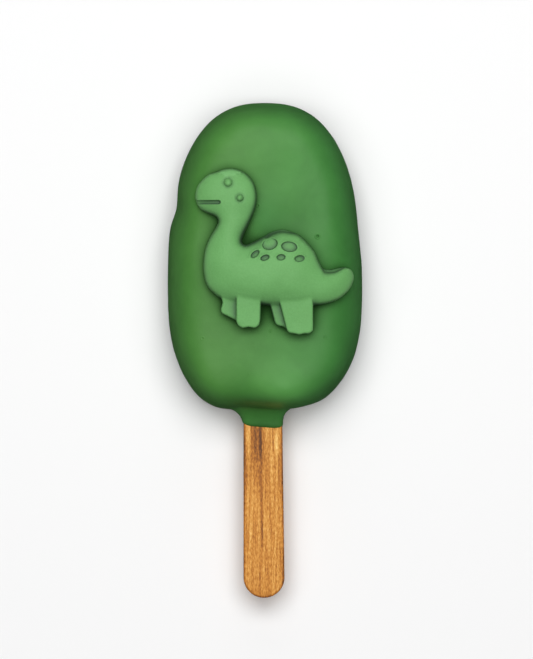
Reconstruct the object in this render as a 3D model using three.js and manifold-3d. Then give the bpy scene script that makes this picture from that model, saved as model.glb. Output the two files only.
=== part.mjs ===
// A cakesicle lying on its flat back: a coated cake on a wooden stick, with a moulded
// long-necked dinosaur on its face. Millimetres, +Z up, +Y towards the cake's round end.
// The origin is on the floor, under the middle of the whole length and width.

import * as THREE from "three";
import { mergeVertices } from "three/addons/utils/BufferGeometryUtils.js";
import Module from "manifold-3d";

const wasm = await Module();
wasm.setup();

// ---- Driving dimensions ---------------------------------------------------------------------

const GAP = 0.3; // left between pieces that touch

// Cake and figure are drawn about the cake's widest place, which lies at CAKE.y.
const CAKE = {
  y: 15.9,
  halfWidth: 23.7,
  roundEnd: { reach: 44.4, power: 2.5 }, // from the widest place, and the superellipse power
  stickEnd: { reach: 30, power: 2.8 },
  height: 22.3,
  widestLevel: 8, // height at which the cake is widest
  flatHalfWidth: 19.7, // of the back that it lies on
  facePower: 6, // how late the face starts to fall towards the rim
  backPower: 2.5,
  rings: 34,
  sectors: 64,
};

// Unevenness of the poured outline: where, in degrees from +X, how wide, and how far out.
const BULGES = [
  { at: 139, spread: 7, out: -0.9 },
  { at: 31, spread: 15, out: -0.45 },
  { at: 246, spread: 14, out: 1.0 },
];

const STICK = {
  endY: -60.3, // its free end
  length: 93,
  freeWidth: 10,
  innerWidth: 8.8,
  thickness: 2,
  x: -0.2,
  lean: 0.4, // degrees, towards -X at the cake
  level: 9, // height of its middle plane
  edge: 0.35,
};

// The coating runs down on to the stick as a flaring collar.
const COLLAR = {
  free: -34.4, // its free end, from the cake's widest place
  root: -29.4, // where it meets the cake
  inside: -24, // where it ends, inside the cake
  left: { end: 5.45, flare: 4.3, power: 3 }, // half widths from the stick's middle line
  right: { end: 5.45, flare: 3.3, power: 4 },
  halfHeight: { end: 1.75, flare: 2.5, power: 2 },
  slant: -0.05, // of the free end's line
  corner: { end: 6, root: 3 }, // superellipse powers of the section
};

// The figure's body, nose to tail tip, as ribs: [belly x, belly y, back x, back y].
const RIBS = [
  [-16.5, 19.5, -16.3, 24.3],
  [-14.5, 17.8, -13.3, 27.1],
  [-12.1, 16.8, -8.7, 28.6],
  [-11.4, 15.4, -3.8, 26.3],
  [-12.3, 13.4, -2.0, 22.2],
  [-13.8, 10.8, -2.6, 18.5],
  [-14.7, 8.0, -4.1, 14.7],
  [-15.0, 4.8, -5.1, 12.6],
  [-14.7, 1.7, -5.4, 10.2],
  [-12.9, -1.6, -3.3, 10.1],
  [-7.8, -3.9, 0.9, 12.5],
  [-0.7, -4.8, 4.9, 13.4],
  [6.1, -5.1, 9.8, 10.9],
  [11.8, -4.9, 12.4, 7.1],
  [16.0, -4.2, 16.0, 3.7],
  [19.6, -2.2, 20.1, 4.3],
];
const FIGURE = {
  nose: [-17.0, 21.6],
  tip: [21.7, 1.7],
  wall: 1.6, // upright side of the figure, below its rounding
  round: 6, // width of the rounding at its edge
  crown: { head: 4.9, body: 7, tail: 4.6 }, // heights over the level that it lies on
  sag: 0.6, // share of the cake's fall towards its rim that the figure follows
  sunk: 1, // how far the uncut figure reaches into the cake
  stations: 64,
  sectors: 32,
};

const NEAR_LEG = 4; // leg heights
const FAR_LEG = 2.6;
const LEG_EDGE = 0.35;
const LEGS = {
  nearFront: {
    height: NEAR_LEG,
    outline: [
      [-7.0, -1.7], [-7.0, -8.9], [-6.5, -10.0], [-5.5, -10.5], [-4.0, -10.2],
      [-2.4, -10.5], [-1.4, -9.8], [-1.1, -8.4], [-0.9, -1.7],
    ],
  },
  nearHind: {
    height: NEAR_LEG,
    outline: [
      [2.8, -1.2], [3.6, -4.5], [5.3, -11.0], [6.0, -11.7], [7.1, -11.8],
      [8.3, -12.1], [9.5, -11.8], [10.9, -11.8], [11.7, -11.1], [11.6, -4.6], [11.3, -1.2],
    ],
  },
  farHind: {
    height: FAR_LEG,
    outline: [
      [0.9, -3.2], [1.3, -4.9], [2.3, -8.8], [2.7, -9.6], [3.6, -10.0], [5.4, -10.6], [6.0, -3.7],
    ],
  },
  farFront: {
    height: FAR_LEG,
    outline: [
      [-10.9, -2.0], [-10.3, -4.3], [-10.8, -6.2], [-10.5, -6.9], [-6.3, -8.9], [-5.5, -2.7],
    ],
  },
};

// Flat-floored pits on the back: place, half sizes and tilt in degrees.
const PIT_DEPTH = 0.75;
const PITS = [
  { x: 1.1, y: 10.1, a: 1.85, b: 1.49, tilt: 15 },
  { x: 5.9, y: 9.3, a: 1.91, b: 1.26, tilt: -8 },
  { x: -2.4, y: 7.5, a: 1.22, b: 0.67, tilt: 40 },
  { x: 0.0, y: 6.6, a: 1.1, b: 0.67, tilt: 20 },
  { x: 3.9, y: 6.7, a: 1.05, b: 0.73, tilt: 5 },
  { x: 8.4, y: 6.4, a: 1.22, b: 0.78, tilt: 8 },
];
const EYES = [
  { x: -9.0, y: 25.0, radius: 0.9 },
  { x: -6.1, y: 21.2, radius: 0.7 },
];
const MOUTH = { left: -17.6, right: -10.9, y: 20.2, radius: 0.48, dip: 20, sunk: 0.2 };

// ---- Shapes and solids ----------------------------------------------------------------------

const { degToRad, lerp, clamp, smoothstep } = THREE.MathUtils;
const signedPower = (value, power) => Math.sign(value) * Math.abs(value) ** power;

// One closed mesh with shared vertices, each moved by place if it is given, and facing out.
function reshape(geometry, place = (point) => point) {
  const bare = geometry.clone();
  bare.deleteAttribute("normal");
  bare.deleteAttribute("uv");
  const merged = mergeVertices(bare);
  const position = merged.getAttribute("position");
  for (let i = 0; i < position.count; i++) {
    const point = place(new THREE.Vector3().fromBufferAttribute(position, i));
    position.setXYZ(i, point.x, point.y, point.z);
  }
  const index = merged.index.array;
  const corner = (i) => new THREE.Vector3().fromBufferAttribute(position, index[i]);
  let volume = 0;
  for (let i = 0; i < index.length; i += 3)
    volume += corner(i).dot(corner(i + 1).cross(corner(i + 2)));
  if (volume < 0)
    for (let i = 0; i < index.length; i += 3)
      [index[i + 1], index[i + 2]] = [index[i + 2], index[i + 1]];
  return merged;
}

function toSolid(geometry) {
  const mesh = new wasm.Mesh({
    numProp: 3,
    vertProperties: new Float32Array(geometry.getAttribute("position").array),
    triVerts: new Uint32Array(geometry.index.array),
  });
  return new wasm.Manifold(mesh);
}

function toGeometry(solid) {
  const mesh = solid.getMesh();
  const geometry = new THREE.BufferGeometry();
  geometry.setAttribute("position", new THREE.BufferAttribute(mesh.vertProperties, 3));
  geometry.setIndex(new THREE.BufferAttribute(mesh.triVerts, 1));
  geometry.computeVertexNormals();
  return geometry;
}

// ---- Cake -----------------------------------------------------------------------------------

// Half length at share (0 in the middle, 1 at the outline). The rim keeps its width all round.
function lengthAt(share, reach) {
  const slim = CAKE.halfWidth / reach;
  return reach * (1 - slim * (1 - share) - (1 - slim) * (1 - share) ** 4);
}

function endAt(y) {
  return y < 0 ? CAKE.stickEnd : CAKE.roundEnd;
}

// The outline's unevenness as a factor on the distance from the middle.
function unevenness(x, y, share) {
  const degrees = (THREE.MathUtils.radToDeg(Math.atan2(y, x)) + 360) % 360;
  const out = BULGES.reduce(
    (sum, bulge) => sum + bulge.out * Math.exp(-(((degrees - bulge.at) / bulge.spread) ** 2)),
    0,
  );
  return 1 + (out / CAKE.halfWidth) * share ** 4;
}

// The cake's half section, from the middle of its face over the rim to the middle of its back.
function cakeSection(turn) {
  const rim = 0.6; // shares of the turn that face and rim, and back edge, take
  const back = 0.85;
  const flat = CAKE.flatHalfWidth / CAKE.halfWidth;
  if (turn <= rim) {
    const angle = (turn / rim) * (Math.PI / 2);
    const rise = (CAKE.height - CAKE.widestLevel) * Math.cos(angle);
    return { share: Math.sin(angle) ** (2 / CAKE.facePower), z: CAKE.widestLevel + rise };
  }
  if (turn <= back) {
    const angle = ((turn - rim) / (back - rim)) * (Math.PI / 2);
    const power = 2 / CAKE.backPower;
    const z = CAKE.widestLevel * (1 - Math.sin(angle) ** power);
    return { share: flat + (1 - flat) * Math.abs(Math.cos(angle)) ** power, z };
  }
  return { share: (flat * (1 - turn)) / (1 - back), z: 0 };
}

function cakeBody() {
  const sphere = new THREE.SphereGeometry(1, CAKE.sectors, CAKE.rings).rotateX(Math.PI / 2);
  return reshape(sphere, (point) => {
    const { share, z } = cakeSection(Math.acos(clamp(point.z, -1, 1)) / Math.PI);
    const round = Math.hypot(point.x, point.y) || 1;
    const end = endAt(point.y);
    const x = CAKE.halfWidth * share * signedPower(point.x / round, 2 / end.power);
    const y = lengthAt(share, end.reach) * signedPower(point.y / round, 2 / end.power);
    const factor = unevenness(x, y, share);
    return new THREE.Vector3(x * factor, y * factor, z);
  });
}

// Height of the cake's face over x, y, left smooth where the outline is uneven.
function faceHeight(x, y) {
  const end = endAt(y);
  let low = 0.001;
  let high = 0.995;
  for (let i = 0; i < 30; i++) {
    const share = (low + high) / 2;
    const reach =
      Math.abs(x / (CAKE.halfWidth * share)) ** end.power +
      Math.abs(y / lengthAt(share, end.reach)) ** end.power;
    if (reach > 1) low = share;
    else high = share;
  }
  const rise = CAKE.height - CAKE.widestLevel;
  return CAKE.widestLevel + rise * Math.sqrt(1 - low ** CAKE.facePower);
}

function collar() {
  const tube = new THREE.CylinderGeometry(1, 1, 1, 48, 16);
  const middle = stickMiddle(CAKE.y + COLLAR.free);
  return reshape(tube, (point) => {
    const y = lerp(COLLAR.free, COLLAR.inside, point.y + 0.5);
    const spread = clamp((y - COLLAR.free) / (COLLAR.root - COLLAR.free), 0, 1);
    const side = point.x < 0 ? COLLAR.left : COLLAR.right;
    const halfWidth = side.end + side.flare * spread ** side.power;
    const tall = COLLAR.halfHeight;
    const halfHeight = tall.end + tall.flare * spread ** tall.power;
    const corner = 2 / lerp(COLLAR.corner.end, COLLAR.corner.root, spread);
    const x = middle + halfWidth * signedPower(point.x, corner);
    const z = STICK.level + halfHeight * signedPower(point.z, corner);
    return new THREE.Vector3(x, y + COLLAR.slant * x * (1 - spread), z);
  });
}

// ---- Stick ----------------------------------------------------------------------------------

// X of the stick's middle line at a distance y along the whole part.
function stickMiddle(y) {
  return STICK.x - (y - STICK.endY) * Math.tan(degToRad(STICK.lean));
}

// Outline about the free end, with half-round ends, and grown all round by margin.
function stickShape(margin) {
  const free = STICK.freeWidth / 2;
  const inner = STICK.innerWidth / 2;
  const shape = new THREE.Shape();
  shape.absarc(0, free, free + margin, Math.PI, 2 * Math.PI);
  shape.absarc(0, STICK.length - inner, inner + margin, 0, Math.PI);
  return shape;
}

function stickGeometry(margin, edge) {
  const depth = STICK.thickness + 2 * margin - 2 * edge;
  const geometry = new THREE.ExtrudeGeometry(stickShape(margin), {
    depth,
    curveSegments: 16,
    bevelEnabled: edge > 0,
    bevelThickness: edge,
    bevelSize: edge,
    bevelOffset: -edge,
    bevelSegments: 2,
  });
  return reshape(geometry.translate(0, 0, -depth / 2));
}

function placeStick(object) {
  object.position.set(STICK.x, STICK.endY, STICK.level);
  object.rotation.z = degToRad(STICK.lean);
  object.updateMatrix();
  return object;
}

// The hollow that the stick fills, in the cake's own frame.
function stickPocket() {
  const holder = placeStick(new THREE.Object3D());
  return stickGeometry(GAP, 0).applyMatrix4(holder.matrix).translate(0, -CAKE.y, 0);
}

// ---- Figure ---------------------------------------------------------------------------------

// The level that the figure is moulded on: it follows part of the cake's fall.
function figureLevel(x, y) {
  return lerp(CAKE.height, faceHeight(x, y), FIGURE.sag);
}

// Crown height at a place along the body, 0 at the nose and 1 at the tail's tip.
function crownAt(along) {
  const { head, body, tail } = FIGURE.crown;
  const front = lerp(head, body, smoothstep(along, 0.4, 0.62));
  return lerp(front, tail, smoothstep(along, 0.72, 0.92));
}

function bodyOutline() {
  const flat = ([x, y]) => new THREE.Vector3(x, y, 0);
  const belly = RIBS.map((rib) => flat(rib.slice(0, 2)));
  const back = RIBS.map((rib) => flat(rib.slice(2))).reverse();
  return new THREE.CatmullRomCurve3([flat(FIGURE.nose), ...belly, flat(FIGURE.tip), ...back], true);
}

function figureBody() {
  const outline = bodyOutline();
  const sphere = new THREE.SphereGeometry(1, FIGURE.sectors, FIGURE.stations);
  return reshape(sphere, (point) => {
    const along = Math.acos(clamp(point.y, -1, 1)) / Math.PI;
    const belly = outline.getPoint(along / 2);
    const back = outline.getPoint(1 - along / 2);
    const half = belly.distanceTo(back) / 2;
    const angle = Math.atan2(point.z, point.x);
    const upper = angle >= 0;
    const across = upper ? Math.cos(angle) : clamp(2 * Math.cos(angle), -1, 1);
    const place = belly.clone().lerp(back, (across + 1) / 2);
    const level = figureLevel(place.x, place.y);
    if (!upper) {
      const bottom = faceHeight(place.x, place.y) - FIGURE.sunk;
      place.z = lerp(level + FIGURE.wall, bottom, Math.min(1, -2 * Math.sin(angle)));
      return place;
    }
    const width = Math.min(FIGURE.round, half);
    const inset = Math.min(1, (half * (1 - Math.abs(across))) / (width || 1));
    const slim = 1 - width / FIGURE.round;
    const dome = Math.sqrt(1 - (1 - inset) ** 2) * Math.sqrt(1 - slim ** 2);
    place.z = level + FIGURE.wall + (crownAt(along) - FIGURE.wall) * dome;
    return place;
  });
}

function leg({ outline, height }) {
  const shape = new THREE.Shape(outline.map(([x, y]) => new THREE.Vector2(x, y)));
  const geometry = new THREE.ExtrudeGeometry(shape, {
    depth: height - LEG_EDGE,
    bevelThickness: LEG_EDGE,
    bevelSize: LEG_EDGE,
    bevelOffset: -LEG_EDGE,
    bevelSegments: 2,
  });
  return reshape(geometry, (point) => {
    const { x, y } = point;
    const bottom = faceHeight(x, y) - FIGURE.sunk;
    return new THREE.Vector3(x, y, point.z <= 0 ? bottom : figureLevel(x, y) + point.z);
  });
}

const plainBody = new THREE.Mesh(figureBody());

// Height of the figure's plain body over x, y.
function bodyTop(x, y) {
  const above = new THREE.Vector3(x, y, 2 * CAKE.height);
  const downwards = new THREE.Raycaster(above, new THREE.Vector3(0, 0, -1));
  return downwards.intersectObject(plainBody)[0].point.z;
}

function pit({ x, y, a, b, tilt }) {
  const cylinder = new THREE.CylinderGeometry(1.1, 0.9, 1, 20).rotateX(Math.PI / 2);
  const floor = bodyTop(x, y) - PIT_DEPTH;
  cylinder.scale(a, b, 2).rotateZ(degToRad(tilt)).translate(x, y, floor + 1);
  return reshape(cylinder);
}

function eye({ x, y, radius }) {
  const ball = new THREE.SphereGeometry(radius, 14, 10).scale(1, 1, 0.6);
  return reshape(ball.translate(x, y, bodyTop(x, y) - 0.1));
}

function mouth() {
  const { left, right, y, radius, dip } = MOUTH;
  const capsule = new THREE.CapsuleGeometry(radius, right - left - 2 * radius, 4, 12);
  const middle = (left + right) / 2;
  capsule.rotateZ(Math.PI / 2).rotateY(-degToRad(dip));
  return reshape(capsule.translate(middle, y, bodyTop(middle, y) - MOUTH.sunk));
}

// ---- Solids ---------------------------------------------------------------------------------

const cakeSolid = toSolid(cakeBody());
const coatedSolid = cakeSolid.add(toSolid(collar())).subtract(toSolid(stickPocket()));

let figureSolid = toSolid(plainBody.geometry);
for (const part of Object.values(LEGS)) figureSolid = figureSolid.add(toSolid(leg(part)));
for (const part of PITS) figureSolid = figureSolid.subtract(toSolid(pit(part)));
figureSolid = figureSolid.subtract(toSolid(mouth()));
for (const part of EYES) figureSolid = figureSolid.add(toSolid(eye(part)));
figureSolid = figureSolid.subtract(toSolid(cakeBody().translate(0, 0, GAP)));

// ---- Scene graph ----------------------------------------------------------------------------

function namedMesh(name, geometry, colour, roughness) {
  const material = new THREE.MeshStandardMaterial({ color: colour, roughness, metalness: 0 });
  const mesh = new THREE.Mesh(geometry, material);
  mesh.name = name;
  return mesh;
}

const onCake = new THREE.Group();
onCake.position.y = CAKE.y;
onCake.add(namedMesh("coated_cake", toGeometry(coatedSolid), 0x55924f, 0.45));
onCake.add(namedMesh("dinosaur", toGeometry(figureSolid), 0x6eaa66, 0.7));

const cakesicle = new THREE.Group();
cakesicle.add(onCake);
cakesicle.add(placeStick(namedMesh("stick", stickGeometry(0, STICK.edge), 0xd79a54, 0.75)));

export default cakesicle;
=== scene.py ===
"""A green cakesicle on its back: satin coating, matte moulded dinosaur, bare wooden stick.

Shapes are worked out in millimetres about the cake's widest place, as signed fields that are
negative inside, and meshed from a voxel grid. Everything is then placed in metres.
"""
import math

import bmesh
import bpy
import numpy as np
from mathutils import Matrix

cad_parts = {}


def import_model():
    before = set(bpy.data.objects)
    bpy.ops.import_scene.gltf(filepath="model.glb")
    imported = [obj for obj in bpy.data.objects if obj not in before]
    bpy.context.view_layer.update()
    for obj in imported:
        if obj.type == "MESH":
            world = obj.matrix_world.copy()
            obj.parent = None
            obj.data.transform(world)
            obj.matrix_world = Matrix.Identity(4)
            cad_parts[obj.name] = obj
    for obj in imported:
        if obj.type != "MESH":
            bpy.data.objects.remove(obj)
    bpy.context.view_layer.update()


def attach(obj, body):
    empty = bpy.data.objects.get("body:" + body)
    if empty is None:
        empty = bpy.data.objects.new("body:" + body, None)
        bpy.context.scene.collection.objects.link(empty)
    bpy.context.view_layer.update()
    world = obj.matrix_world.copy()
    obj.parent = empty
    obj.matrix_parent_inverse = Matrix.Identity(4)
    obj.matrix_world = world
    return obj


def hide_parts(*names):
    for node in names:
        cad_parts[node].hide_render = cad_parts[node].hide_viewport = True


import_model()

import openvdb
from mathutils import Matrix, Vector

MM = 0.001
GOLDEN = 2.399963  # turn between the waves of a noise, in radians

# ---- Sizes, in millimetres ----------------------------------------------------------------------

CAKE_Y = 15.9  # the cake's widest place, from the part's origin
CAKE_HALF_WIDTH = 23.7
ROUND_END = (44.4, 2.5)  # reach from the widest place, and the outline's superellipse power
STICK_END = (30.0, 2.8)
CAKE_HEIGHT = 22.3
WIDEST_LEVEL = 8.0
FLAT_HALF_WIDTH = 19.7
FACE_POWERS = (6.0, 8.5, 12.0)  # how late the face falls: towards the sides, round end and stick
BACK_POWER = 2.5
# Unevenness of the outline: direction and spread in degrees, and how far out
BULGES = ((139, 7, -0.9), (31, 15, -0.45), (246, 14, 1.0), (296, 8, 0.4))

STICK_FREE_END = -60.3
STICK_LENGTH = 93.0
STICK_WIDTHS = (10.0, 8.8)  # at the free end and inside the cake
STICK_THICKNESS = 2.0
STICK_EDGE = 0.35  # how far its edges are rounded off
STICK_X = -0.2
STICK_LEAN = math.radians(0.4)
STICK_LEVEL = 9.0

COLLAR_FREE = -34.85  # y of its free end
COLLAR_ROOT = -29.4  # y where it meets the cake
COLLAR_INSIDE = -24.0  # y where it ends inside the cake
COLLAR_LEFT = (4.95, 4.3, 3)  # half width at the free end, flare and its power
COLLAR_RIGHT = (4.9, 3.3, 4)
COLLAR_TALL = (1.4, 2.8, 2)  # the same for its half height
COLLAR_MOST_FLARE = 1.15  # where the flare ends, as a share of the way to the root
COLLAR_CORNER = (0.9, 1.6)  # corner radius at the free end, and what the flare adds
COLLAR_BLEND = 0.6  # how softly it joins the cake
LIP_SLANT = 0.08  # of the collar's free end
LIP_DRAWN_BACK = 0.35  # at the sides, from half way out
LIP_ROUNDING = 1.2

# Where the poured coating stands proud of the plain form or falls back from it:
# x, y, reach along x, reach along y, and how far out
SWELLS = (
    (5.0, -25.6, 6.2, 4.6, 1.60), (-13.5, -21.8, 4.6, 5.0, 0.60), (-5.4, -25.6, 3.4, 4.0, -0.70),
    (13.5, -22.5, 5.0, 4.0, 0.25), (8.0, 35.0, 5.5, 5.5, 0.75), (-9.5, 34.0, 6.0, 5.0, 0.15),
    (0.0, 43.6, 15.0, 2.6, -0.50), (15.6, 21.0, 3.0, 7.5, 0.26), (-17.6, 10.0, 2.6, 6.5, 0.24),
    (18.6, -4.0, 2.8, 9.0, -0.50), (5.0, 16.2, 6.0, 5.5, -0.78), (0.8, 25.0, 4.0, 5.0, -0.30),
    (9.8, 14.8, 4.0, 3.2, -0.16), (3.0, -14.0, 9.0, 7.0, 0.20), (11.6, 27.0, 3.2, 5.0, 0.16),
    (-1.5, 30.0, 5.0, 4.0, 0.14), (-19.5, -3.0, 2.4, 5.0, 0.15),
)
BROAD_WAVES = (0.10, 17, 1)  # height, length and seed
FINE_WAVES = (0.012, 4, 5)
SWELL_LEVELS = (8.0, 15.0)  # heights over which swells and broad waves set in
FINE_LEVELS = (0.5, 2.0)  # the same for the fine waves, above the flat back
# Burst bubbles and specks in the coating: x, y, radius, depth, height of the rim round it
BUBBLES = (
    (12.7, 11.7, 0.30, 0.20, 0.09), (-1.7, 19.1, 0.22, 0.06, 0.06),
    (-15.1, -13.0, 0.22, 0.05, 0.04), (1.3, -11.3, 0.20, 0.05, 0.05),
    (14.4, -12.7, 0.20, 0.05, 0.05), (-3.9, -21.5, 0.16, -0.05, 0.0),
)
BUBBLE_RIM = (1.7, 0.6)  # where a bubble's rim stands and how wide it is, in radii
BUBBLE_ROUNDS = ((1.6, 1), (1.1, 2))  # reach and cuts of each round of finer faces
BUBBLE_REACH = 2.2  # how far round a bubble the points are moved on to its form

COATING_BOX = ((-24.5, -35.5, -0.2), (24.5, 45.0, 23.2))
COATING_VOXEL = 0.36

# The figure's outline, from the nose over head and back to the tail, and back under the belly
FIGURE_OUTLINE = (
    (-17.0, 21.8), (-16.5, 24.0), (-15.4, 25.5), (-13.8, 26.9), (-11.8, 27.6), (-9.6, 28.3),
    (-7.3, 28.3), (-5.0, 27.4), (-3.1, 25.4), (-2.2, 23.0), (-2.1, 20.6), (-2.7, 18.0),
    (-4.1, 14.7), (-5.0, 12.8), (-5.6, 11.1), (-5.5, 10.2), (-4.7, 9.8), (-3.2, 10.3),
    (-1.6, 11.1), (0.0, 12.0), (1.6, 12.9), (4.1, 13.5), (6.5, 12.95), (8.7, 11.8), (10.7, 9.8),
    (12.1, 8.0), (13.2, 5.5), (14.2, 4.0), (15.9, 3.7), (17.9, 4.1), (19.6, 4.3),
    (21.0, 3.7), (21.7, 2.2), (21.4, 0.5), (20.2, -1.5), (17.9, -3.4), (14.9, -4.5),
    (11.8, -4.9), (6.1, -5.1), (-0.7, -4.8), (-7.3, -4.0), (-10.7, -3.2), (-12.6, -1.9),
    (-13.9, -0.4), (-14.7, 1.7), (-15.0, 4.5), (-14.7, 8.0), (-13.8, 10.8), (-12.4, 13.3),
    (-11.6, 14.8), (-11.4, 15.8), (-12.1, 16.8), (-14.4, 17.8), (-15.7, 18.6), (-16.6, 20.0),
)
OUTLINE_STEPS = 8  # from one point of it to the next
WALL = 1.15  # height of the wall under the pillow
# How high the pillow is over head, neck, body and tail, as a share of the blown-up film's height
FULLNESS = (1.12, 0.98, 0.84, 0.86)
HEAD_TO_NECK = (20.5, 16.5)  # y over which the one gives way to the other
NECK_TO_BODY = (14.0, 7.0)
BODY_TO_TAIL = (10.0, 15.0)  # x over which it does
HEAD_FLATNESS = 2.6  # length over which the head's rounding dies out
HEAD_FLAT_FROM = (15.5, 19.5)  # y over which that sets in
SAG = 0.6  # how much of the face's own fall the figure follows
SUNK = 0.25  # how deep the figure sits in the coating
FIGURE_WAVES = (0.035, 5, 4)

# The film is solved on its own coarse grid
FILM_STEP = 0.2
FILM_ROUNDS = 900
FILM_HASTE = 1.9  # over-relaxation
FILM_SURE_FROM = 0.15  # distance inside the outline from which it is relied on
FILM_BLUR = 4  # in grid steps

# Where the wall leans instead of standing upright: a point on the line that ends each stretch,
# the line's direction outwards, the reach along x, and how far the wall leans in
LEANS = (
    ((-5.0, 10.0), (-0.74, 0.67), (-0.6, 8.2), 0.48),
    ((14.0, 1.2), (0, -1), (13.6, 20.4), 0.66),
)
LEAN_FOOT = 0.25  # height at which a leaning wall starts
LEAN_LEVEL = 1.2  # only the back's wall leans, above this y
LEAN_FADE = 0.5  # how far to either side of its line, and of that y, a lean fades
LEAN_ENDS = (1.2, 3.5)  # the same at its left and right end, inwards
LEAN_BLEND = 0.2
LEAST_LEAN = 0.05
EDGE_REACH = 0.6  # how far from the outline the pillow's edge is read from the distance to it

NEAR_LEG = 4.8
FAR_LEG = 3.2
LEG_EDGE = 0.5
LEG_ROOT = -4.0  # y from which a leg falls towards its foot
LEG_FALL = 0.12  # how much lower it gets for each millimetre
LEG_BLEND = 0.35  # how softly a leg's sides join the body
LEG_FILLET = 0.55  # how softly its top runs up on to the body
LEG_SINK = 0.75  # how deep its top lies under the body's surface, further up
LEG_SINKS_OVER = (0.4, 2.2)  # rise of the body above the leg over which it gets there
LEG_CORNER = 0.26  # how round the corners of its outline are
LEGS = (
    (NEAR_LEG, ((-7.0, -1.2), (-7.0, -8.9), (-6.5, -9.9), (-5.5, -10.5), (-4.0, -10.2),
                (-2.4, -10.5), (-1.4, -9.8), (-1.1, -8.4), (-0.9, -1.2))),
    (NEAR_LEG, ((2.6, -0.8), (3.6, -4.5), (5.3, -11.0), (6.0, -11.7), (7.1, -11.8), (8.3, -12.1),
                (9.5, -11.8), (10.9, -11.8), (11.7, -11.1), (11.7, -4.6), (11.3, -0.8))),
    (FAR_LEG, ((0.9, -3.2), (1.3, -4.9), (2.3, -8.8), (2.7, -9.6), (3.6, -10.0), (4.2, -10.0),
               (5.4, -10.7), (6.2, -3.7))),
    (FAR_LEG, ((-10.9, -2.0), (-10.3, -4.3), (-10.6, -5.3), (-10.8, -6.2), (-10.5, -6.9),
               (-7.2, -8.5), (-6.3, -8.9), (-5.5, -2.7))),
)

# Pits on the back: x, y, half length, half width, tilt in degrees, depth, and how much of the
# depth is lost towards the back, where the floor runs out
PITS = (
    (1.2, 9.95, 1.80, 1.34, 15, 0.68, 0.70), (5.9, 9.3, 1.86, 1.20, -8, 0.72, 0.40),
    (-2.4, 7.5, 1.17, 0.62, 40, 0.60, 0.0), (0.0, 6.6, 1.05, 0.62, 20, 0.60, 0.0),
    (3.9, 6.7, 1.0, 0.68, 5, 0.52, 0.0), (8.4, 6.4, 1.17, 0.73, 8, 0.56, 0.0),
)
PIT_LIP = (0.13, 0.26, 0.19)  # height of the lip round a pit, how far out it stands, width
PIT_LIP_OVER = (-0.9, 0.7)  # from where to where up a pit the lip rises, in half widths
PIT_EDGE = (0.12, -0.14)  # from where to where the edge of a pit or the mouth falls
PIT_FADE = (0.05, 0.5)  # distance inside the outline over which pits set in
EYES = ((-9.0, 25.0, 1.12), (-6.1, 21.2, 0.92))  # x, y, radius
EYE_TALL = 0.75
EYE_ROUNDNESS = 0.9
EYE_GROOVE = (0.13, 0.30)  # depth and width
MOUTH = (-17.6, -10.85, 20.15, 0.42)  # left, right, y, half width
MOUTH_DEPTH = 0.7
MOUTH_LIP = (0.05, 0.25, 0.15)  # as round a pit
SCRAP = (-8.6, 27.5, 2.5, 1.4, 0.22)  # scrap of paste on the head: x, y, half sizes, thickness
SCRAP_WAVES = (0.17, 1.3, 9)  # how ragged its outline is
SCRAP_EDGE = (0.09, -0.09)
SCRAP_FADE = (-1.6, 0.3)  # where it sets in, in half lengths from its middle

FIGURE_AREA = ((-20.0, -15.0), (25.0, 32.0))
CHART_STEP = 0.08
FACE_CHART_STEP = 0.1
FIGURE_BOX = ((-17.6, -12.7, 16.0), (22.3, 29.2, 30.0))
FIGURE_VOXEL = 0.18

# Frame of the view: millimetres from the part's origin
VIEW_CENTRE = (0.37, 5.07)
VIEW_HEIGHT = 160.7
VIEW_DISTANCE = 1600.0
AIM = (VIEW_CENTRE[0], VIEW_CENTRE[1] - CAKE_Y)
FIGURE_RISE = 16.0  # of its outline, above the cake's widest place
FIGURE_NEARNESS = VIEW_DISTANCE / (VIEW_DISTANCE - FIGURE_RISE)

# Softboxes: name, lean from straight above and turn from +X in degrees, angles that width and
# height span, and strength
LIGHT_DISTANCE = 1.0  # metres
SOFTBOXES = (
    ("overhead", 0, 90, (26, 22), 0.16),
    ("behind", 22, 90, (42, 22), 0.62),
    ("far_behind", 60, 90, (40, 24), 0.08),
    ("left", 22, 180, (20, 26), 0.15),
    ("right", 22, 0, (20, 26), 0.15),
    ("front", 24, 270, (40, 22), 0.12),
)
AMBIENT = 0.02  # strength of the light from all round
FLOOR_SIZE = 6  # metres
SENSOR_WIDTH = 36
NOISE_RANGE = (0.3, 0.7)  # between which nearly all of a noise lies


# ---- Fields -------------------------------------------------------------------------------------


def smooth_step(low, high, value):
    """0 at low and 1 at high, without a kink at either."""
    t = np.clip((value - low) / (high - low), 0, 1)
    return t * t * (3 - 2 * t)


def smooth_union(a, b, blend):
    """The two forms together, with a fillet of about blend where they meet."""
    near = np.maximum(blend - np.abs(a - b), 0) / blend
    return np.minimum(a, b) - near * near * blend / 4


def smooth_cut(a, b, blend):
    """What of a lies inside b as well."""
    return -smooth_union(-a, -b, blend)


def waves(x, y, z, height, length, seed):
    """Smooth noise: plain waves of about that length, spread over all directions."""
    count = 14
    golden_share = 0.618034
    total = 0
    for i in range(count):
        turn = seed + i * GOLDEN
        tilt = math.asin(((i * golden_share + seed * 0.37) % 1) * 1.6 - 0.8)
        k = 2 * math.pi / (length * (0.7 + 0.06 * i))
        across = math.cos(turn) * math.cos(tilt) * x + math.sin(turn) * math.cos(tilt) * y
        phase = (i * i + 3 * seed) * 1.7
        total = total + np.sin(k * (across + math.sin(tilt) * z) + phase)
    return height * total / math.sqrt(count)


def slab(inside, above, edge):
    """Distance to a flat-topped form with a rounded upper edge."""
    side, top = edge - inside, above + edge
    round_part = np.hypot(np.maximum(side, 0), np.maximum(top, 0))
    return round_part + np.minimum(np.maximum(side, top), 0) - edge


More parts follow.
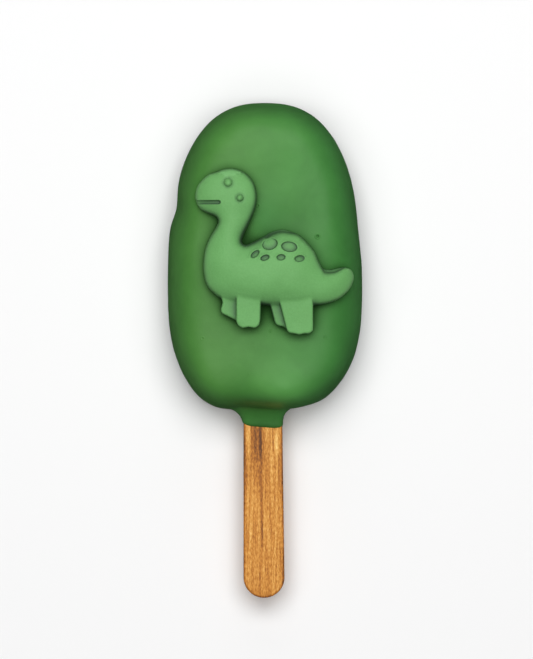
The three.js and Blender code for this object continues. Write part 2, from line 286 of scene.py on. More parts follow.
class Chart:
    """Values on a flat grid, read between its points."""

    def __init__(self, low, high, step, values_of):
        self.low, self.step = low, step
        xs = np.arange(low[0], high[0] + step, step)
        ys = np.arange(low[1], high[1] + step, step)
        self.values = values_of(*np.meshgrid(xs, ys, indexing="ij"))

    def __call__(self, x, y):
        just_inside = 1.001
        u = np.clip((x - self.low[0]) / self.step, 0, self.values.shape[0] - just_inside)
        v = np.clip((y - self.low[1]) / self.step, 0, self.values.shape[1] - just_inside)
        u, v = np.broadcast_arrays(u, v)
        i, j = u.astype(int), v.astype(int)
        s, t = u - i, v - j
        g = self.values
        near = g[i, j] * (1 - t) + g[i, j + 1] * t
        far = g[i + 1, j] * (1 - t) + g[i + 1, j + 1] * t
        return near * (1 - s) + far * s


def closed_curve(points, steps):
    """A smooth closed curve through the points, as an array."""
    p = np.array(points, float)
    before, after, beyond = np.roll(p, 1, 0), np.roll(p, -1, 0), np.roll(p, -2, 0)
    t = (np.arange(steps) / steps)[None, :, None]
    a, b, c, d = (q[:, None, :] for q in (before, p, after, beyond))
    curve = 0.5 * (
        2 * b + (c - a) * t + (2 * a - 5 * b + 4 * c - d) * t**2 + (3 * b - a - 3 * c + d) * t**3
    )
    return curve.reshape(-1, 2)


def inset(outline, x, y):
    """Distance inside a closed outline, negative outside it."""
    best = np.full(x.shape, 1e9)
    inside = np.zeros(x.shape, bool)
    for (ax, ay), (bx, by) in zip(outline, np.roll(outline, -1, 0)):
        ex, ey = bx - ax, by - ay
        along = np.clip(((x - ax) * ex + (y - ay) * ey) / (ex * ex + ey * ey), 0, 1)
        best = np.minimum(best, (x - ax - along * ex) ** 2 + (y - ay - along * ey) ** 2)
        if ey:
            inside ^= ((ay > y) != (by > y)) & (x < ax + (y - ay) * ex / ey)
    return np.where(inside, 1, -1) * np.sqrt(best)


def mesh_of(name, field, box, voxel, finer=(), finer_field=None):
    """A mesh object of the field's zero surface, its points moved on to the exact surface.

    Its faces are finer round the places in finer, where finer_field gives the surface.
    """
    axes = [np.arange(low - 2 * voxel, high + 2 * voxel, voxel) for low, high in zip(*box)]
    values = field(*np.meshgrid(*axes, indexing="ij", sparse=True))
    furthest = 3 * voxel
    values = np.clip(values, -furthest, furthest).astype(np.float32)
    grid = openvdb.FloatGrid(furthest)
    grid.copyFromArray(np.ascontiguousarray(values))
    points, quads = grid.convertToQuads()
    points = points.astype(float) * voxel + [axis[0] for axis in axes]
    points = on_surface(field, points, voxel)
    data = bpy.data.meshes.new(name)
    data.from_pydata(points, [], quads[:, ::-1].tolist())
    if finer:
        refine(data, finer, finer_field, voxel)
    data.transform(Matrix.Scale(MM, 4) @ Matrix.Translation((0, CAKE_Y, 0)))
    data.shade_smooth()
    piece = bpy.data.objects.new(name, data)
    bpy.context.collection.objects.link(piece)
    return piece


def on_surface(field, points, furthest):
    """The points moved along the field's slope to where it is zero."""
    least_slope = 0.1
    for _ in range(3):
        here = field(*points.T)
        slope = gradient(field, points)
        size = np.maximum((slope**2).sum(1), least_slope)
        points = points - np.clip(here / size, -furthest, furthest)[:, None] * slope
    return points


def refine(data, places, field, voxel):
    """Split the upward faces round each place, and move their points on to the field."""
    mesh = bmesh.new()
    mesh.from_mesh(data)
    for reach, cuts in BUBBLE_ROUNDS:
        faces = [face for face in mesh.faces if is_close(face.calc_center_median(), places, reach)]
        edges = dict.fromkeys(edge for face in faces for edge in face.edges)
        bmesh.ops.subdivide_edges(mesh, edges=list(edges), cuts=cuts, use_grid_fill=True)
    mesh.to_mesh(data)
    mesh.free()
    points = np.array([vertex.co for vertex in data.vertices])
    near = np.array([is_close(point, places, BUBBLE_REACH) for point in points])
    points[near] = on_surface(field, points[near], voxel)
    data.vertices.foreach_set("co", points.ravel())


def is_close(point, places, reach):
    """Whether a point of the upper side lies within reach of one of the places."""
    x, y, z = point
    return z > CAKE_HEIGHT / 2 and any(math.hypot(x - p[0], y - p[1]) < reach for p in places)


def gradient(field, points):
    """The field's slope at each point."""
    reach = 0.02
    columns = []
    for axis in range(3):
        shift = np.zeros(3)
        shift[axis] = reach
        columns.append((field(*(points + shift).T) - field(*(points - shift).T)) / (2 * reach))
    return np.stack(columns, 1)


# ---- Cake and collar ----------------------------------------------------------------------------


def cake_share(x, y):
    """0 in the cake's middle and 1 on its outline. The rim keeps its width all round."""
    x, y = np.broadcast_arrays(x, y)
    reach = np.where(y < 0, STICK_END[0], ROUND_END[0])
    power = np.where(y < 0, STICK_END[1], ROUND_END[1])
    slim = CAKE_HALF_WIDTH / reach
    degrees = np.degrees(np.arctan2(y, x)) % 360
    out = sum(o * np.exp(-(((degrees - at) / spread) ** 2)) for at, spread, o in BULGES)
    halvings = 24
    low, high = np.full(x.shape, 1e-3), np.full(x.shape, 1.5)
    for _ in range(halvings):
        share = (low + high) / 2
        factor = 1 + out / CAKE_HALF_WIDTH * share**4
        length = reach * (1 - slim * (1 - share) - (1 - slim) * (1 - share) ** 4)
        size = (np.abs(x) / (CAKE_HALF_WIDTH * share * factor)) ** power
        size = size + (np.abs(y) / (length * factor)) ** power
        low, high = np.where(size > 1, share, low), np.where(size > 1, high, share)
    return (low + high) / 2


def face_power(x, y):
    """How late the face falls towards the outline in this direction."""
    across = (x / CAKE_HALF_WIDTH) ** 2
    along = (y / np.where(y < 0, STICK_END[0], ROUND_END[0])) ** 2
    at_sides, at_round_end, at_stick_end = FACE_POWERS
    at_ends = np.where(y < 0, at_stick_end, at_round_end)
    return at_sides + (at_ends - at_sides) * along / np.maximum(across + along, 1e-6)


def face_height(x, y):
    """Height of the plain face, without its swells."""
    nearly_out = 0.995
    share = np.minimum(cake_share(x, y), nearly_out)
    return WIDEST_LEVEL + (CAKE_HEIGHT - WIDEST_LEVEL) * np.sqrt(1 - share ** face_power(x, y))


def cake_field(x, y, z):
    """The cake: half an ellipse up from its widest place, and a rounded edge down to its back."""
    share = cake_share(x, y)
    rise = (z - WIDEST_LEVEL) / (CAKE_HEIGHT - WIDEST_LEVEL)
    drop = np.maximum(-rise, 0) * (CAKE_HEIGHT - WIDEST_LEVEL) / WIDEST_LEVEL
    rise = np.maximum(rise, 0)
    power = face_power(x, y)
    upper = share**power + rise**2 - 1
    upper_slope = np.hypot(
        power * share ** (power - 1) / CAKE_HALF_WIDTH,
        2 * rise / (CAKE_HEIGHT - WIDEST_LEVEL),
    )
    edge = CAKE_HALF_WIDTH - FLAT_HALF_WIDTH
    over = np.maximum(share * CAKE_HALF_WIDTH - FLAT_HALF_WIDTH, 0) / edge
    lower = over**BACK_POWER + drop**BACK_POWER - 1
    lower_slope = BACK_POWER * np.hypot(
        over ** (BACK_POWER - 1) / edge, drop ** (BACK_POWER - 1) / WIDEST_LEVEL
    )
    least = 0.05
    distance = np.where(
        z >= WIDEST_LEVEL,
        upper / np.maximum(upper_slope, least),
        lower / np.maximum(lower_slope, least),
    )
    return distance - cake_relief(x, y, z)


def cake_relief(x, y, z):
    """How far the poured surface stands off the plain form."""
    swells = 0
    for sx, sy, rx, ry, out in SWELLS:
        swells = swells + out * np.exp(-(((x - sx) / rx) ** 2) - ((y - sy) / ry) ** 2)
    swells = swells + waves(x, y, 0 * z, *BROAD_WAVES)
    fine = smooth_step(*FINE_LEVELS, z) * waves(x, y, z, *FINE_WAVES)
    return smooth_step(*SWELL_LEVELS, z) * swells + fine


def bubbles(x, y):
    """How far the burst bubbles and specks stand off the coating."""
    at, width = BUBBLE_RIM
    total = 0
    for bx, by, radius, depth, rim in BUBBLES:
        off = np.hypot(x - bx, y - by) / radius
        total = total - depth * np.exp(-(off**2)) + rim * np.exp(-(((off - at) / width) ** 2))
    return total


def stick_middle(y):
    """x of the stick's middle line."""
    return STICK_X - (y + CAKE_Y - STICK_FREE_END) * math.tan(STICK_LEAN)


def collar_field(x, y, z):
    """The coating's short collar round the stick, which flares towards the cake."""
    spread = np.clip((y - COLLAR_FREE) / (COLLAR_ROOT - COLLAR_FREE), 0, COLLAR_MOST_FLARE)
    across = x - stick_middle(y)
    left = COLLAR_LEFT[0] + COLLAR_LEFT[1] * spread ** COLLAR_LEFT[2]
    right = COLLAR_RIGHT[0] + COLLAR_RIGHT[1] * spread ** COLLAR_RIGHT[2]
    half_width = np.where(across < 0, left, right)
    half_height = COLLAR_TALL[0] + COLLAR_TALL[1] * spread ** COLLAR_TALL[2]
    radius = np.minimum(COLLAR_CORNER[0] + COLLAR_CORNER[1] * spread, half_height)
    section = slab(half_width - np.abs(across), np.abs(z - STICK_LEVEL) - half_height, radius)
    drawn_back = LIP_DRAWN_BACK * smooth_step(0.5, 1, np.abs(across) / half_width)
    lip = COLLAR_FREE - LIP_SLANT * across + drawn_back
    tube = smooth_cut(section, lip - y, LIP_ROUNDING)
    return np.maximum(tube, y - COLLAR_INSIDE)


def coating_field(x, y, z):
    """Cake and collar in one."""
    return smooth_union(cake_field(x, y, z), collar_field(x, y, z), COLLAR_BLEND)


def pitted_coating_field(x, y, z):
    """The same with its burst bubbles."""
    return coating_field(x, y, z) - np.where(z > CAKE_HEIGHT / 2, bubbles(x, y), 0)


# ---- Figure -------------------------------------------------------------------------------------


def figure_maps():
    """Charts of the distance inside each outline, of the pillow, the legs' tops and the face."""
    body = closed_curve(FIGURE_OUTLINE, OUTLINE_STEPS)
    charts = {"body": figure_chart(lambda x, y: inset(body, x, y))}
    charts["dome"] = figure_chart(lambda x, y: dome(charts["body"], x, y))
    slope = np.hypot(*np.gradient(charts["dome"].values, CHART_STEP))
    charts["dome slope"] = figure_chart(lambda x, y: slope)
    pillow = WALL + np.sqrt(2 * np.maximum(charts["dome"].values, 0))
    for i, (tall, outline) in enumerate(LEGS):
        points = np.array(outline, float)
        corner = LEG_CORNER / CHART_STEP
        charts[f"leg{i}"] = figure_chart(lambda x, y: blurred(inset(points, x, y), corner))
        charts[f"top{i}"] = figure_chart(lambda x, y: leg_top(tall, pillow, y))
    charts["face"] = Chart(*FIGURE_AREA, FACE_CHART_STEP, face_height)
    return charts


def figure_chart(values_of):
    return Chart(*FIGURE_AREA, CHART_STEP, values_of)


def leg_top(tall, pillow, y):
    """Height of a leg's top, which runs up on to the body and then dives under its surface."""
    plain = tall - LEG_FALL * np.maximum(LEG_ROOT - y, 0)
    ramp = blurred(np.maximum(plain, pillow), LEG_FILLET / CHART_STEP)
    first, last = LEG_SINKS_OVER
    return ramp - LEG_SINK * smooth_step(plain + first, plain + last, pillow)


def fullness(x, y):
    """What the film's height is multiplied by."""
    head, neck, body, tail = FULLNESS
    front = head + (neck - head) * smooth_step(*HEAD_TO_NECK, y)
    front = front + (body - neck) * smooth_step(*NECK_TO_BODY, y)
    return front + (tail - body) * smooth_step(*BODY_TO_TAIL, x)


def dome(body, x, y):
    """Half the square of the pillow's height, as a film blown up over the outline would have it.

    Solved on a coarse grid; what it is near the outline is then read from the distance to it,
    so that the edge stays smooth.
    """
    least, least_weight = 0.1, 0.001

    def share_of_film(gx, gy):
        depth = np.maximum(body(gx, gy) - lean_width(gx, gy), 0)
        sure = depth > FILM_SURE_FROM
        share = blown_film(depth > 0, gy) / np.maximum(1 - np.exp(-depth / EDGE_REACH), least)
        weight = blurred(sure.astype(float), FILM_BLUR)
        share = blurred(np.where(sure, share, 0), FILM_BLUR) / np.maximum(weight, least_weight)
        return np.where(weight > least_weight, share, 1)

    share = Chart(*FIGURE_AREA, FILM_STEP, share_of_film)
    depth = np.maximum(body(x, y) - lean_width(x, y), -4 * EDGE_REACH)
    return share(x, y) * (1 - np.exp(-depth / EDGE_REACH)) * fullness(x, y) ** 2


def blown_film(inside, y):
    """Heights of a film held down outside the outline and blown up inside it."""
    bend = (smooth_step(*HEAD_FLAT_FROM, y) / HEAD_FLATNESS**2) * FILM_STEP * FILM_STEP
    film = np.zeros(y.shape)
    chequer = (np.indices(y.shape).sum(0) % 2).astype(bool)
    for turn in range(FILM_ROUNDS):
        around = sum(np.roll(film, way, axis) for axis in (0, 1) for way in (1, -1))
        fresh = (around + FILM_STEP * FILM_STEP) / (4 + bend)
        here = inside & (chequer if turn % 2 else ~chequer)
        film = np.where(here, film + FILM_HASTE * (fresh - film), film)
    return film


def blurred(values, width):
    """The grid's values, spread over about width grid steps."""
    reach = int(3 * width)
    weights = np.exp(-((np.arange(-reach, reach + 1) / width) ** 2) / 2)
    weights /= weights.sum()
    for axis in (0, 1):
        values = np.apply_along_axis(np.convolve, axis, values, weights, "same")
    return values


def figure_detail(x, y):
    """Relief on the figure's top."""
    inside = smooth_step(*PIT_FADE, CHARTS["body"](x, y) - lean_width(x, y))
    relief = waves(x, y, 0 * x, *FIGURE_WAVES) + inside * pits(x, y)
    return relief + eyes(x, y) + mouth(x, y) + scrap(x, y)


def ridge(off, height, at, width):
    """A rounded ridge that stands at a distance from an edge."""
    return height * np.exp(-(((off - at) / width) ** 2))


def pits(x, y):
    lip, at, width = PIT_LIP
    relief = 0
    for px, py, a, b, tilt, depth, lost in PITS:
        c, s = math.cos(math.radians(tilt)), math.sin(math.radians(tilt))
        u = ((x - px) * c + (y - py) * s) / a
        v = ((y - py) * c - (x - px) * s) / b
        off = (np.hypot(u, v) - 1) * min(a, b)
        upper = np.clip(v, -1, 1)
        relief = relief - depth * (1 - lost * upper) * smooth_step(*PIT_EDGE, off)
        relief = relief + ridge(off, lip * smooth_step(*PIT_LIP_OVER, upper), at, width)
    return relief


def eyes(x, y):
    groove, width = EYE_GROOVE
    relief = 0
    for ex, ey, radius in EYES:
        off = np.hypot(x - ex, y - ey)
        relief = relief + EYE_TALL * np.maximum(1 - (off / radius) ** 2, 0) ** EYE_ROUNDNESS
        relief = relief - ridge(off, groove, radius, width)
    return relief


def mouth(x, y):
    left, right, my, half = MOUTH
    off = np.hypot(x - np.clip(x, left, right - half), y - my) - half
    return ridge(off, *MOUTH_LIP) - MOUTH_DEPTH * smooth_step(*PIT_EDGE, off)


def scrap(x, y):
    sx, sy, across, along, thick = SCRAP
    ragged = waves(x, y, 0 * x, *SCRAP_WAVES)
    off = np.hypot((x - sx) / across, (y - sy) / along) - 1 + ragged
    fading = smooth_step(*SCRAP_FADE, (y - sy) / along)
    return thick * fading * smooth_step(*SCRAP_EDGE, off)


def lean_width(x, y):
    """How far the wall leans in at the nearest stretch, and 0 where it stands upright."""
    left_end, right_end = LEAN_ENDS
    width = 0
    for (px, py), (nx, ny), (left, right), wide in LEANS:
        beyond = (x - px) * nx + (y - py) * ny
        part = smooth_step(LEAN_FADE, -LEAN_FADE, beyond) * smooth_step(left, left + left_end, x)
        part = part * smooth_step(LEAN_LEVEL - LEAN_FADE, LEAN_LEVEL + LEAN_FADE, y)
        width = width + wide * part * smooth_step(right, right - right_end, x)
    return width


def figure_field(x, y, z):
    """The figure: a pillow with legs, on a wall that leans in places, sunk into the face."""
    face = CHARTS["face"](x, y)
    # The figure lies nearer the camera than the outline was measured for
    x = AIM[0] + (x - AIM[0]) * FIGURE_NEARNESS
    y = AIM[1] + (y - AIM[1]) * FIGURE_NEARNESS
    level = CAKE_HEIGHT + (face - CAKE_HEIGHT) * SAG
    height = z - level - figure_detail(x, y)
    edge = CHARTS["body"](x, y)
    lean = lean_width(x, y)
    v = np.maximum(height - WALL, 0)
    least_steepness = 0.05
    steepness = np.maximum(np.hypot(v, CHARTS["dome slope"](x, y)), least_steepness)
    solid = (v * v / 2 - CHARTS["dome"](x, y)) / steepness
    solid = np.maximum(solid, lean - edge)
    for i in range(len(LEGS)):
        leg = slab(CHARTS[f"leg{i}"](x, y), height - CHARTS[f"top{i}"](x, y), LEG_EDGE)
        solid = smooth_union(solid, leg, LEG_BLEND)
    rise = (WALL - LEAN_FOOT) / np.maximum(lean, LEAST_LEAN)
    slant = (height - LEAN_FOOT - rise * edge) / np.sqrt(1 + rise * rise)
    slant = np.maximum(np.maximum(slant, height - WALL), -edge)
    far_off = 9
    solid = smooth_union(solid, np.where(lean > LEAST_LEAN, slant, far_off), LEAN_BLEND)
    return np.maximum(solid, face - SUNK - z)


# Worked out once, and read wherever the figure's form is asked for
CHARTS = figure_maps()


# ---- Stick --------------------------------------------------------------------------------------


def stick_piece():
    """A flat stick with half-round ends and softened edges."""
    steps = 40
    free, inner = (width / 2 for width in STICK_WIDTHS)
    outline = []
    for i in range(steps + 1):
        a = math.pi + math.pi * i / steps
        outline.append((free * math.cos(a), free + free * math.sin(a)))
    for i in range(steps + 1):
        a = math.pi * i / steps
        outline.append((inner * math.cos(a), STICK_LENGTH - inner + inner * math.sin(a)))
    mesh = bpy.data.meshes.new("stick_wood")
    half = STICK_THICKNESS / 2
    points = [(x, y, -half) for x, y in outline] + [(x, y, half) for x, y in outline]
    n = len(outline)
    faces = [tuple(range(n))[::-1], tuple(range(n, 2 * n))]
    faces += [(i, (i + 1) % n, n + (i + 1) % n, n + i) for i in range(n)]
    mesh.from_pydata(points, [], faces)
    to_place = Matrix.Translation((STICK_X, STICK_FREE_END, STICK_LEVEL))
    to_place = to_place @ Matrix.Rotation(STICK_LEAN, 4, "Z")
    mesh.transform(Matrix.Scale(MM, 4) @ to_place)
    piece = bpy.data.objects.new("stick_wood", mesh)
    bpy.context.collection.objects.link(piece)
    bevel = piece.modifiers.new("edges", "BEVEL")
    bevel.width = STICK_EDGE * MM
    bevel.segments = 3
    bevel.limit_method = "ANGLE"
    bevel.angle_limit = math.radians(50)
    mesh.shade_smooth()
    return piece


# ---- Materials ----------------------------------------------------------------------------------


class Nodes:
    """Short calls for one material's node tree."""

    def __init__(self, name):
        self.material = bpy.data.materials.new(name)
        self.material.use_nodes = True
        self.tree = self.material.node_tree
        self.shader = self.tree.nodes["Principled BSDF"]
        self.object = self.tree.nodes.new("ShaderNodeTexCoord").outputs["Object"]

    def place(self):
        """x, y and z on the object, in metres."""
        node = self.add("ShaderNodeSeparateXYZ")
        self.link(self.object, node.inputs["Vector"])
        return node.outputs

    def add(self, kind, **settings):
        node = self.tree.nodes.new(kind)
        for key, value in settings.items():
            setattr(node, key, value)
        return node

    def link(self, output, node_input):
        self.tree.links.new(output, node_input)

    def noise(self, scale, detail=3, roughness=0.5, distortion=0.0, stretch=(1, 1, 1)):
        """Noise over the object, with scale waves to the metre times the stretch along each axis."""
        place = self.add("ShaderNodeMapping")
        place.inputs["Scale"].default_value = stretch
        self.link(self.object, place.inputs["Vector"])
        node = self.add("ShaderNodeTexNoise")
        node.inputs["Scale"].default_value = scale
        node.inputs["Detail"].default_value = detail
        node.inputs["Roughness"].default_value = roughness
        node.inputs["Distortion"].default_value = distortion
        self.link(place.outputs["Vector"], node.inputs["Vector"])
        return node.outputs["Fac"]

    def vary(self, noise, low, high):
        """A noise taken to the range from low to high."""
        return self.span(noise, *NOISE_RANGE, low, high)

    def ramp(self, factor, stops, interpolation="LINEAR"):
        node = self.add("ShaderNodeValToRGB")
        node.color_ramp.interpolation = interpolation
        elements = node.color_ramp.elements
        while len(elements) < len(stops):
            elements.new(0.5)
        for element, (place, colour) in zip(elements, stops):
            element.position = place
            element.color = (*colour, 1)
        self.link(factor, node.inputs["Fac"])
        return node.outputs["Color"]

    def span(self, value, low, high, to_low, to_high, smooth=False):
        """The value taken from one range to another, and held at its ends."""
        node = self.add("ShaderNodeMapRange")
        node.interpolation_type = "SMOOTHSTEP" if smooth else "LINEAR"
        node.inputs["From Min"].default_value = low
        node.inputs["From Max"].default_value = high
        node.inputs["To Min"].default_value = to_low
        node.inputs["To Max"].default_value = to_high
        self.link(value, node.inputs["Value"])
        return node.outputs["Result"]

    def maths(self, operation, *values):
        node = self.add("ShaderNodeMath", operation=operation)
        for socket, value in zip(node.inputs, values):
            if isinstance(value, (int, float)):
                socket.default_value = value
            else:
                self.link(value, socket)
        return node.outputs["Value"]

    def plus(self, first, second):
        return self.maths("ADD", first, second)

    def less(self, first, second):
        return self.maths("SUBTRACT", first, second)

    def times(self, first, second):
        return self.maths("MULTIPLY", first, second)

    def squares(self, first, second):
        """The sum of both squares."""
        return self.plus(self.times(first, first), self.times(second, second))

    def about(self, middle_x, middle_y, reach_x, reach_y):
        """x and y from a place in millimetres about the cake's widest place, in its reaches."""
        x, y, _ = self.place()
        across = self.times(self.less(x, middle_x * MM), 1 / (reach_x * MM))
        along = self.times(self.less(y, (middle_y + CAKE_Y) * MM), 1 / (reach_y * MM))
        return across, along

    def openness(self, reach, low, high):
        """0 where surfaces within reach stand close round a place, and 1 where it is open."""
        near = self.add("ShaderNodeAmbientOcclusion", samples=16)
        near.inputs["Distance"].default_value = reach
        return self.span(near.outputs["AO"], low, high, 0, 1)

    def mix(self, factor, first, second):
        node = self.add("ShaderNodeMix", data_type="RGBA")
        self.link(factor, node.inputs["Factor"])
        for socket, colour in ((node.inputs["A"], first), (node.inputs["B"], second)):
            if isinstance(colour, tuple):
                socket.default_value = (*colour, 1)
            else:
                self.link(colour, socket)
        return node.outputs["Result"]

    def bump(self, height, distance):
        """Roughens the shader's surface by that distance in metres."""
        node = self.add("ShaderNodeBump")
        node.inputs["Distance"].default_value = distance
        self.link(height, node.inputs["Height"])
        self.link(node.outputs["Normal"], self.shader.inputs["Normal"])

    def product(self, colour, factor, operation="MULTIPLY"):
        """A colour times another one or, with operation SCALE, times a number."""
        node = self.add("ShaderNodeVectorMath", operation=operation)
        self.link(colour, node.inputs["Vector"])
        self.link(factor, node.inputs["Scale" if operation == "SCALE" else 1])
        return node.outputs["Vector"]


YELLOWER_COATING = (0.087, 0.274, 0.054)  # towards -X
BLUER_COATING = (0.068, 0.267, 0.058)  # towards +X
COATING_PAINTED_SHADE = (0.007, 0.046, 0.004)  # painted shade, mixed in where other surfaces stand close: in the creases, round the figure, down by the floor
# Painted shade and painted highlights: where the coating's colour is paler or deeper, x, y, reach
# # along x and y in millimetres about the cake's widest place, and by what share
COATING_SHADE_AND_HIGHLIGHT_PATCHES = (
    (-10.5, -13.5, 8.0, 9.0, -0.12), (-14.0, 1.0, 4.5, 8.0, -0.13), (17.5, -8.5, 4.0, 13.0, -0.09),
    (8.5, 15.0, 6.0, 4.5, -0.12), (-0.5, 25.5, 4.0, 6.0, -0.11), (2.8, -24.5, 6.5, 4.5, 0.12),
    (-4.5, -27.5, 5.0, 3.0, -0.12), (12.0, 40.0, 4.5, 3.5, -0.12), (13.5, -22.5, 4.0, 4.5, -0.12),
    (-1.0, 14.5, 3.5, 6.0, 0.11), (-2.6, 12.0, 2.0, 2.6, 0.22), (-0.2, -34.7, 6.0, 1.3, -0.38),
    (0.3, -28.6, 5.5, 1.3, -0.20),
)
BLUE_SHADE_PATCH = (-0.5, 15.5, 4.5, 7.0, 0.5)  # the same, for how far the colour turns to the bluer one, the cool tint of painted shade
HUE_SPREAD = 22.0  # half the width in millimetres over which it goes from yellower to bluer
# What the coating's colour is multiplied by at each height in millimetres: painted shade, deeper
# # in colour lower down the sides, and painted light, paler over the top
COATING_PAINTED_SHADE_BY_HEIGHT = (
    (13.5, (0.62, 0.69, 0.66)), (19.3, (0.63, 0.69, 0.65)), (21.2, (0.76, 0.78, 0.76)),
    (22.8, (1.0, 0.91, 0.96)),
)
SATIN_ROUGHNESS = (0.44, 0.50)
CREASE_ROUGHNESS = 0.8

FIGURE_GREENS = ((0.35, (0.126, 0.345, 0.102)), (0.65, (0.144, 0.385, 0.119)))
# Painted shade for the figure's creases, pits and foot
FIGURE_PAINTED_SHADE = (0.048, 0.110, 0.050)
PALE_SCRAP = (0.185, 0.445, 0.165)
SCRAP_PALENESS = 0.5  # how far the scrap takes on that colour


def with_patches(n, value, patches):
    """The value with a soft round patch of the given share added at each place."""
    for *area, share in patches:
        off = n.squares(*n.about(*area))
        patch = n.maths("EXPONENT", n.times(off, -1.0))
        value = n.plus(n.times(patch, share), value)
    return value


def coating_hue(n):
    """Yellower to one side and bluer to the other, with a bluer patch of painted shade behind the
    neck.
    """
    x, _, _ = n.place()
    sideways = n.span(x, -HUE_SPREAD * MM, HUE_SPREAD * MM, 0, 1, smooth=True)
    sideways = with_patches(n, sideways, (BLUE_SHADE_PATCH,))
    return n.mix(sideways, YELLOWER_COATING, BLUER_COATING)


def coating_painted_shade_by_height(n):
    """Painted shade and light: what the coating's colour is multiplied by at each height."""
    _, _, z = n.place()
    lowest, highest = COATING_PAINTED_SHADE_BY_HEIGHT[0][0], COATING_PAINTED_SHADE_BY_HEIGHT[-1][0]
    level = n.span(z, lowest * MM, highest * MM, 0, 1)
    stops = [((height - lowest) / (highest - lowest), times) for height, times in COATING_PAINTED_SHADE_BY_HEIGHT]
    return n.ramp(level, stops, "B_SPLINE")


def coating_clouds_and_painted_patches(n):
    """Its unevenness, clouds and a finer mottling, times the patches of painted shade and highlight.
    """
    clouds = n.vary(n.noise(70, roughness=0.55, distortion=0.6), 0.90, 1.09)
    mottling = n.vary(n.noise(260, detail=4, roughness=0.6, distortion=0.4), 0.965, 1.035)
    return n.times(n.times(clouds, mottling), with_patches(n, 1.0, COATING_SHADE_AND_HIGHLIGHT_PATCHES))


def coating_material():
    """Satin poured coating, with painted shade down its sides, in its creases and round the figure,
    and painted patches of shade and highlight.
    """
    n = Nodes("satin_coating")
    colour = n.product(coating_hue(n), coating_painted_shade_by_height(n))
    colour = n.product(colour, coating_clouds_and_painted_patches(n), "SCALE")
    # Painted shade: the colour deepens where other surfaces stand close round a place
    open_part = n.openness(10 * MM, 0.38, 0.90)
    n.link(n.mix(open_part, COATING_PAINTED_SHADE, colour), n.shader.inputs["Base Color"])
    rough = n.add("ShaderNodeMix", data_type="FLOAT")
    n.link(open_part, rough.inputs["Factor"])
    rough.inputs["A"].default_value = CREASE_ROUGHNESS
    n.link(n.vary(n.noise(160), *SATIN_ROUGHNESS), rough.inputs["B"])
    n.link(rough.outputs["Result"], n.shader.inputs["Roughness"])
    n.bump(n.noise(500, detail=4), 0.04 * MM)
    n.shader.inputs["Specular IOR Level"].default_value = 0.15
    return n.material


def scrap_mask(n):
    """How far a place takes on the colour of the scrap on the head."""
    *area, _ = SCRAP
    off = n.maths("SQRT", n.squares(*n.about(*area)))
    ragged = n.vary(n.noise(900, roughness=0.6), -0.35, 0.35)
    return n.span(n.plus(off, ragged), 0.85, 1.05, SCRAP_PALENESS, 0, smooth=True)


def figure_material():
    """Matte sweet paste with a fine grain, and painted shade in its creases, pits and along its
    foot.
    """
    n = Nodes("matte_figure")
    cloud = n.times(n.noise(200, detail=4), 0.5)
    grain = n.times(n.noise(2400, detail=2), 0.5)
    colour = n.ramp(n.plus(cloud, grain), FIGURE_GREENS)
    colour = n.mix(scrap_mask(n), colour, PALE_SCRAP)
    # Painted shade: the colour deepens where other surfaces stand close round a place
    open_part = n.openness(15 * MM, 0.58, 1.0)
    n.link(n.mix(open_part, FIGURE_PAINTED_SHADE, colour), n.shader.inputs["Base Color"])
    n.shader.inputs["Roughness"].default_value = 0.62
    n.shader.inputs["Specular IOR Level"].default_value = 0.3
    n.bump(n.noise(1600), 0.05 * MM)
    return n.material


def linear(red, green, blue):
    """A colour as the screen shows it, 0 to 255, as a scene colour."""
    shares = [value / 255 for value in (red, green, blue)]
    return tuple(c / 12.92 if c <= 0.04045 else ((c + 0.055) / 1.055) ** 2.4 for c in shares)


# Marks in the wood: millimetres across from the stick's middle, half width, where along the part
# each one is strongest, how far it reaches to either side of there, and how light or dark it is
WOOD_MARKS = (
    (-0.95, 1.05, -17.0, 13.0, -0.20), (-0.75, 0.60, -26.0, 16.0, -0.11),
    (-0.5, 0.50, -38.0, 11.0, -0.10), (-2.85, 0.24, -20.0, 12.0, -0.20),
    (-2.1, 0.40, -19.0, 11.0, -0.12), (-3.6, 0.50, -21.0, 18.0, 0.06),
    (-4.4, 0.40, -30.0, 12.0, -0.14), (-3.2, 0.16, -34.0, 12.0, -0.12),
    (-2.4, 0.18, -28.0, 16.0, -0.12), (2.45, 0.24, -20.0, 6.0, -0.22),
    (3.3, 0.62, -22.6, 4.0, 0.30), (3.9, 0.22, -31.0, 7.0, -0.24),
    (1.2, 1.0, -22.0, 12.0, 0.06), (4.3, 0.30, -42.0, 14.0, -0.12),
    (-0.3, 0.20, -45.0, 4.5, -0.18),
)
WOOD_TONES = (
    (0.0, linear(92, 52, 18)), (0.3, linear(168, 101, 30)), (0.5, linear(203, 135, 51)),
    (0.7, linear(228, 168, 84)), (1.0, linear(254, 214, 132)),
)
DARK_RIM = (0.05, 0.75, 0.30)  # where the dark edge is full, where it ends, and how dark it is


def wood_marks(n, tone, across, along, fibres):
    """The tone with every mark on it, each a little wavy and stronger in the dark fibres.

    A mark is full over its middle fifth and fades out at one and a half times its half width.
    """
    across = n.plus(across, n.vary(n.noise(60, detail=2), -0.3, 0.3))
    for middle, half, strongest, reach, strength in WOOD_MARKS:
        off = n.maths("ABSOLUTE", n.less(across, middle))
        away = n.maths("ABSOLUTE", n.less(along, strongest))
        band = n.span(off, 0.2 * half, 1.5 * half, strength, 0, smooth=True)
        band = n.times(band, n.span(away, 0.3 * reach, reach, 1, 0, smooth=True))
        tone = n.plus(tone, n.times(band, n.span(fibres, 0.35, 0.65, 1.3, 0.7)))
    return tone


def wood_rim(n, across, from_end):
    """How much darker the stick's edge is."""
    at_free_end, inside = (width / 2 for width in STICK_WIDTHS)
    half_width = n.span(from_end, 0, STICK_LENGTH, at_free_end, inside)
    past = n.maths("MINIMUM", n.less(from_end, at_free_end), 0)
    from_edge = n.less(half_width, n.maths("SQRT", n.squares(across, past)))
    full, last, dark = DARK_RIM
    return n.span(from_edge, full, last, dark, 0, smooth=True)


